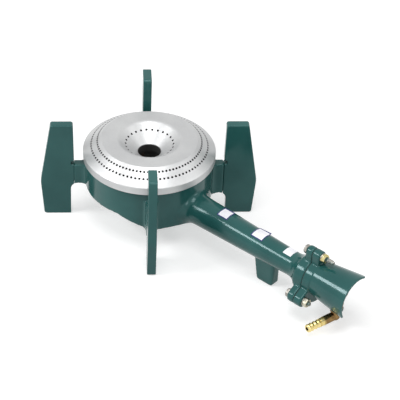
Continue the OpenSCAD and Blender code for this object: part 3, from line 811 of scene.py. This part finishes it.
def flange_bolt(side, lug_turn, hex_turn, length):
    """One bolt: its head, its shank, and the core and ridge of its thread."""
    tip = HEAD_AT + length
    head = hexagon("head_" + side, HEAD_AT - HEAD_H, HEAD_AT, HEAD_AT - HEAD_H, hex_turn)
    dress(head, STEEL)
    break_edges(head, HEX_EDGE)
    shank = rod("shank_" + side, HEAD_AT - MM, NUT_AT, BOLT_R - FIT)
    core = rod("core_" + side, NUT_AT - MM, tip, BOLT_R - THREAD_DEPTH)
    chamfer_rim(core, tip, TIP_CHAMFER)
    for part in (shank, core):
        dress(part, SPRAYED)
        break_edges(part, BOLT_EDGE)
    ridge = thread("thread_" + side, NUT_AT + PITCH, tip - TIP_PLAIN)
    only(head, shank, core, ridge)
    bpy.ops.object.join()
    head.name = "bolt_" + side
    on_lug(head, lug_turn)
    finish(head, "flange_bolt_" + side, "burner")


def flange_nut(side, lug_turn, hex_turn, plating):
    nut = hexagon("nut_" + side, NUT_AT, NUT_AT + NUT_H, NUT_AT + NUT_H, hex_turn)
    cut(nut, rod("bore_" + side, NUT_AT - MM, NUT_AT + NUT_H + MM, BOLT_R + FIT), "DIFFERENCE")
    break_edges(nut, HEX_EDGE)
    dress(nut, plating)
    on_lug(nut, lug_turn)
    finish(nut, "flange_nut_" + side, "burner")


for side, lug_turn, hex_turn, length, plating in (("top", 90, 0, 38 * MM, YELLOW_ZINC),
                                                  ("left", 330, 30, 30 * MM, PALE_ZINC),
                                                  ("right", 210, 30, 30 * MM, PALE_ZINC)):
    flange_bolt(side, math.radians(lug_turn), math.radians(hex_turn), length)
    flange_nut(side, math.radians(lug_turn), math.radians(hex_turn), plating)
    machined("flange_washer_" + side, "washer_" + side, STEEL, WASHER_EDGE)


# Blank stickers on the tube

COLUMNS = 16
ROWS = 24
PAPER_T = 0.12 * MM
PAPER_GAP = 0.15 * MM
BORDER_WIDTH = 1.3 * MM
# Where a sticker has come loose, as a share of its way round, and how much less it lifts
# on the bowl's side
LOOSE_FROM = 0.72
LIFT_SLANT = 0.65


def sticker(name, s0, s1, near, far, border, lift):
    """A plain sticker round the tube from turn near to turn far, whose far end has come loose."""
    bpy.ops.mesh.primitive_grid_add(x_subdivisions=COLUMNS, y_subdivisions=ROWS, size=2)
    piece = bpy.context.object
    piece.name = name
    edge_x = border / (s1 - s0) * 2
    edge_y = border / (tube_radius(s0) * math.radians(near - far)) * 2
    dress(piece, PAPER, BORDER)
    for vertex in piece.data.vertices:
        for axis, cells, width in ((0, COLUMNS, edge_x), (1, ROWS, edge_y)):
            place = vertex.co[axis]
            if border and abs(abs(place) - (1 - 2 / cells)) < 1e-4:
                vertex.co[axis] = math.copysign(1 - width, place)
    for face in piece.data.polygons:
        rim = abs(face.center.x) > 1 - edge_x or abs(face.center.y) > 1 - edge_y
        face.material_index = 1 if border and rim else 0
    for vertex in piece.data.vertices:
        u, v = (vertex.co.x + 1) / 2, (vertex.co.y + 1) / 2
        s = s0 + (s1 - s0) * u
        turn = math.radians(near + (far - near) * v)
        loose = max(0.0, v - LOOSE_FROM) / (1 - LOOSE_FROM)
        lifted = lift * loose ** 2 * (1 - LIFT_SLANT + LIFT_SLANT * u)
        radius = tube_radius(s) + PAPER_GAP + lifted
        vertex.co = (AXIS_X + s, radius * math.cos(turn), TUBE_Z + radius * math.sin(turn))
    clean(piece, FINE_MERGE)
    apply(piece, "SOLIDIFY", thickness=PAPER_T, offset=0)
    shade(piece, 35)
    finish(piece, None, "burner")


sticker("sticker_near_bowl", 121 * MM, 137 * MM, 118, 68, BORDER_WIDTH, 1.6 * MM)
sticker("sticker_middle", 175 * MM, 193 * MM, 121, 58, BORDER_WIDTH, 2.4 * MM)
sticker("sticker_near_flange", 224 * MM, 236 * MM, 115, 58, 0, 0.8 * MM)


# Floor, world and lamps

FLOOR_SIZE = 12
FLOOR_Z = -0.2 * MM
FLOOR_GREY = (0.62, 0.62, 0.62, 1)
WHITE = (1, 1, 1, 1)
# How the floor glows where it is seen: near the burner, and from where to where this grows
# to full white
FLOOR_GLOW = 0.5
GLOW_REACH = (0.7, 2.0)
WORLD_LIGHT = 0.38
LAMPS_AIM = Vector((0.02, 0, 0.05))


def seen_directly(nodes, links):
    """1 where a ray from the camera, a reflection or a clear piece meets the surface."""
    path = nodes.new("ShaderNodeLightPath")
    total = path.outputs["Is Camera Ray"]
    for name in ("Is Glossy Ray", "Is Transmission Ray"):
        node = nodes.new("ShaderNodeMath")
        node.operation = "MAXIMUM"
        links.new(total, node.inputs[0])
        links.new(path.outputs[name], node.inputs[1])
        total = node.outputs["Value"]
    return total


def pale_floor():
    """A wide pale floor that keeps the burner's shadow."""
    bpy.ops.mesh.primitive_plane_add(size=FLOOR_SIZE, location=(0, 0, FLOOR_Z))
    floor = bpy.context.object
    floor.name = "floor"
    m = Finish("floor_white")
    m.set(Base_Color=FLOOR_GREY, Roughness=0.9, Specular_IOR_Level=0.1, Emission_Color=WHITE)
    glow = m.levels(m.reach((0, 0, 0), flat=True), *GLOW_REACH, FLOOR_GLOW, 1.0)
    m.wire("Emission Strength", m.math("MULTIPLY", seen_directly(m.nodes, m.links), glow))
    dress(floor, m.material)


def white_world():
    """White where it is seen, and softer as a light."""
    world = bpy.data.worlds.new("studio")
    world.use_nodes = True
    bpy.context.scene.world = world
    nodes, links = world.node_tree.nodes, world.node_tree.links
    background = nodes["Background"]
    background.inputs["Color"].default_value = WHITE
    strength = nodes.new("ShaderNodeMapRange")
    strength.inputs["To Min"].default_value = WORLD_LIGHT
    strength.inputs["To Max"].default_value = 1.0
    links.new(seen_directly(nodes, links), strength.inputs["Value"])
    links.new(strength.outputs["Result"], background.inputs["Strength"])


def softbox(name, azimuth, elevation, distance, along, across, power):
    """A rectangular lamp that faces the burner, with its first side along the tube."""
    a, e = math.radians(azimuth), math.radians(elevation)
    out = Vector((math.cos(e) * math.cos(a), math.cos(e) * math.sin(a), math.sin(e)))
    side = (Vector((1, 0, 0)) - out.x * out).normalized()
    light = bpy.data.lights.new(name, "AREA")
    light.shape = "RECTANGLE"
    light.size = along
    light.size_y = across
    light.energy = power
    lamp = bpy.data.objects.new(name, light)
    bpy.context.scene.collection.objects.link(lamp)
    turn = Matrix((side, out.cross(side), out)).transposed()
    lamp.matrix_world = Matrix.LocRotScale(LAMPS_AIM + distance * out, turn.to_quaternion(), None)


pale_floor()
white_world()
softbox("overhead", -60, 78, 1.7, 0.9, 0.9, 12)
softbox("left_strip", -130.4, 37.3, 1.8, 0.75, 0.40, 15.5)
softbox("front_fill", -35, 24, 2.4, 0.9, 0.7, 8)
softbox("right_fill", 38, 38, 2.4, 0.9, 0.7, 10)
